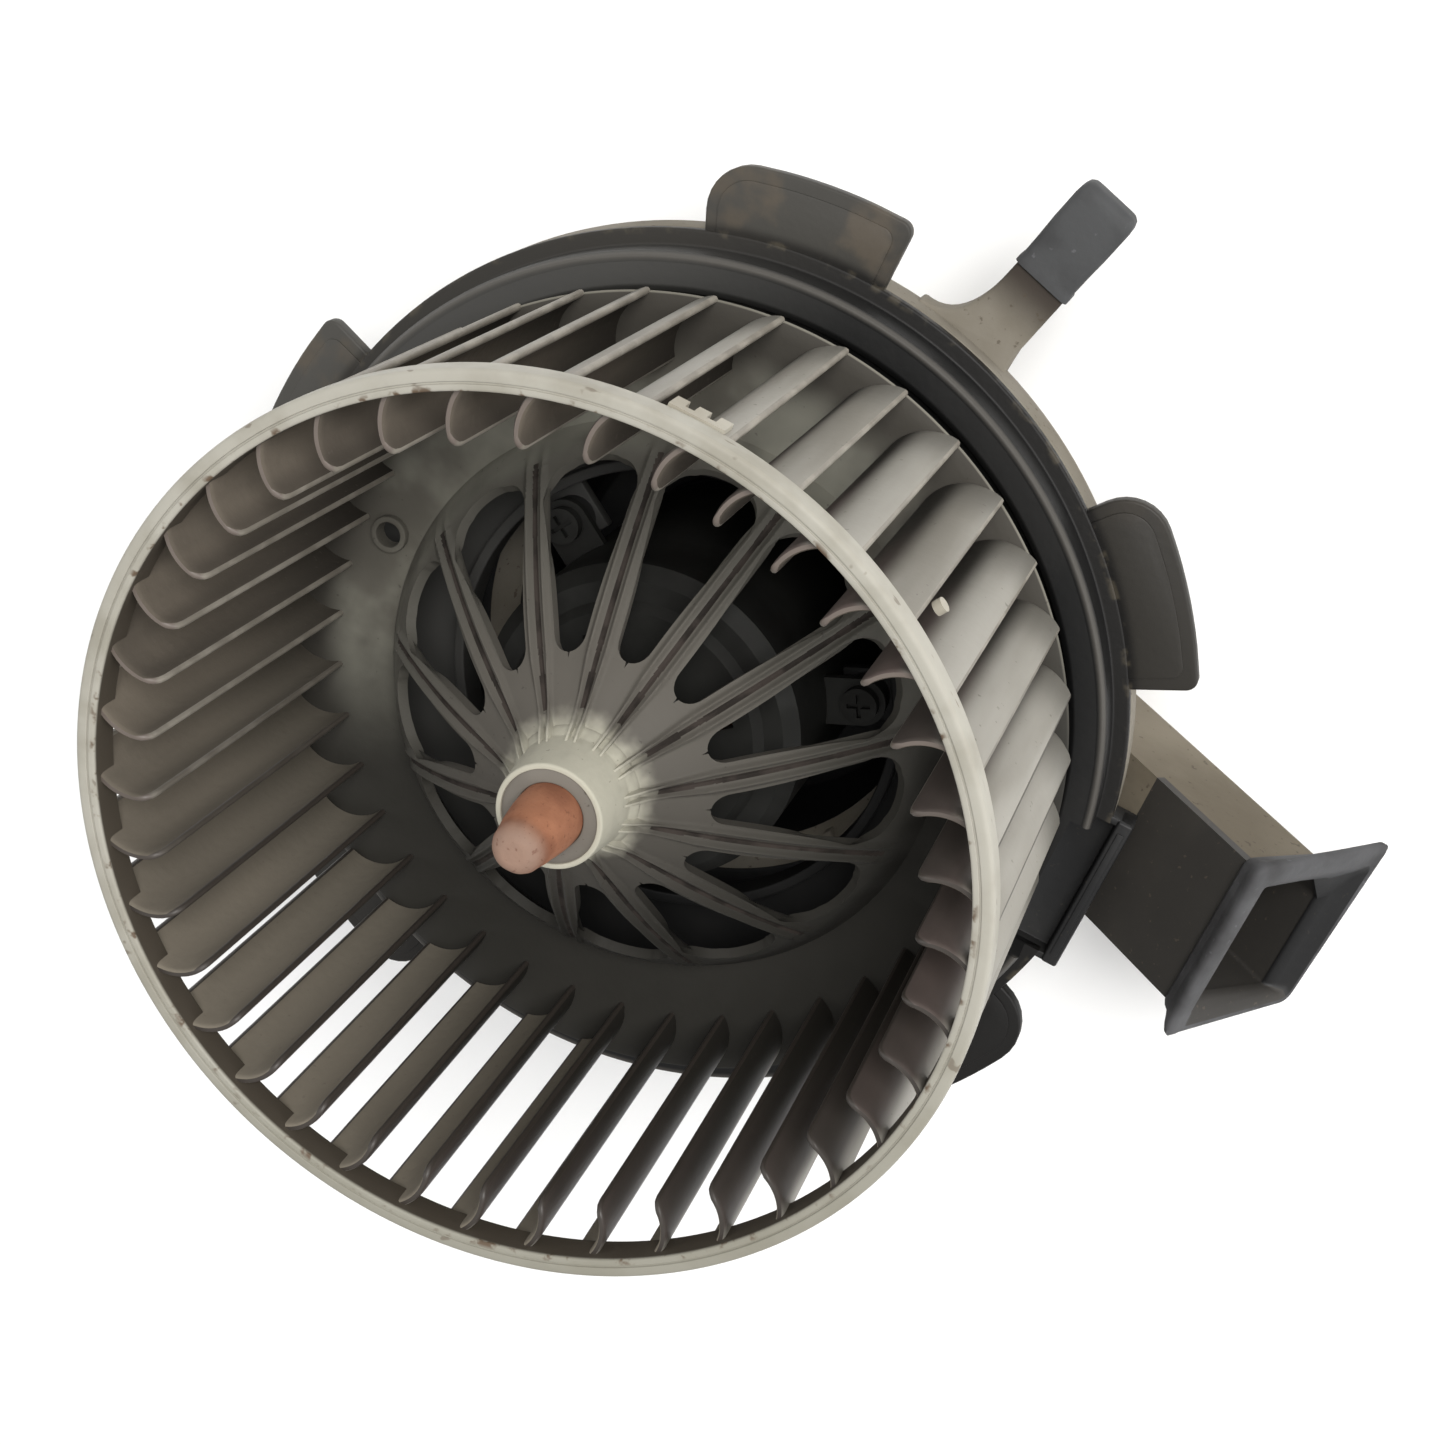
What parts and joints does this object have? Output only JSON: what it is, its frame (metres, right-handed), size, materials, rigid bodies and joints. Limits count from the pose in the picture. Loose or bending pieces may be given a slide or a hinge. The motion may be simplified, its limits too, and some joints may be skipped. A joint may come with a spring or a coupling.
{
  "type": "blower motor wheel",
  "caption": "Vehicle cabin blower: forward-curved fan wheel on a brushed motor in a round bayonet flange with a cooling duct.",
  "frame": {"origin": "centre of the shaft axis at the flange's seating face", "axes": "+Z along the shaft towards the air intake, +X towards the cooling duct"},
  "size_m": [0.2227, 0.207, 0.1312],
  "materials": {
    "wheel_plastic": "aged matt moulding",
    "clip_plastic": "cream moulding",
    "insert_plastic": "matt",
    "shaft_steel": "ground",
    "rusted_steel": "light red-brown rust",
    "core_steel": "laminated",
    "winding_copper": "enamelled wire",
    "commutator_copper": "turned",
    "washer_plastic": "matt",
    "can_steel": "dark zinc",
    "bell_steel": "dull zinc",
    "magnet_ferrite": "matt ceramic",
    "spring_steel": "bright",
    "bearing_bronze": "sintered",
    "card_plastic": "phenolic card",
    "holder_brass": "pressed",
    "brush_carbon": "carbon",
    "choke_copper": "wound wire",
    "capacitor_body": "dipped",
    "grommet_rubber": "matt",
    "screw_steel": "zinc plated",
    "flange_plastic": "satin black",
    "cover_plastic": "dusty dark moulding",
    "duct_front_plastic": "black",
    "collar_rubber": "matt grey",
    "sleeve_rubber": "matt grey",
    "connector_plastic": "black",
    "terminal_brass": "tinned",
    "lead_insulation": "matt"
  },
  "bodies": {
    "housing": {"motor_can": "can_steel", "motor_end_bell": "bell_steel", "motor_magnets": "magnet_ferrite", "magnet_clips": "spring_steel", "front_bearing": "bearing_bronze", "rear_bearing": "bearing_bronze", "bearing_retainers": "spring_steel", "brush_plate": "card_plastic", "brush_holders": "holder_brass", "brush_spring_a": "spring_steel", "brush_spring_b": "spring_steel", "suppression_chokes": "choke_copper", "capacitor": "capacitor_body", "isolator_grommets": "grommet_rubber", "motor_screws": "screw_steel", "mounting_flange": "flange_plastic", "rear_cover": "cover_plastic", "duct_front_plate": "duct_front_plastic", "duct_rear_channel": "cover_plastic", "duct_seal_collar": "collar_rubber", "arm_rubber_sleeve": "sleeve_rubber", "connector_shell": "connector_plastic", "connector_terminals": "terminal_brass", "motor_leads": "lead_insulation", "cover_screws": "screw_steel"},
    "rotor": {"fan_wheel_web": "wheel_plastic", "fan_wheel_blades": "wheel_plastic", "fan_wheel_ring": "wheel_plastic", "balance_clips": "clip_plastic", "hub_insert": "insert_plastic", "motor_shaft": "shaft_steel", "shaft_nose_cap": "rusted_steel", "armature_core": "core_steel", "armature_windings": "winding_copper", "commutator": "commutator_copper", "thrust_washers": "washer_plastic"},
    "brush_a": {"brush_a": "brush_carbon"},
    "brush_b": {"brush_b": "brush_carbon"}
  },
  "joints": [
    {"name": "rotor_spin", "type": "hinge", "parent": "housing", "child": "rotor", "pos_m": [0, 0, 0], "axis": [0, 0, 1], "continuous": true},
    {"name": "brush_a_slide", "type": "slide", "parent": "housing", "child": "brush_a", "axis": [0, 1, 0], "range_m": [0, 0.004], "stiffness_N_per_m": 150, "springref_m": -0.003, "deforming": ["brush_spring_a"]},
    {"name": "brush_b_slide", "type": "slide", "parent": "housing", "child": "brush_b", "axis": [0, -1, 0], "range_m": [0, 0.004], "stiffness_N_per_m": 150, "springref_m": -0.003, "deforming": ["brush_spring_b"]}
  ]
}
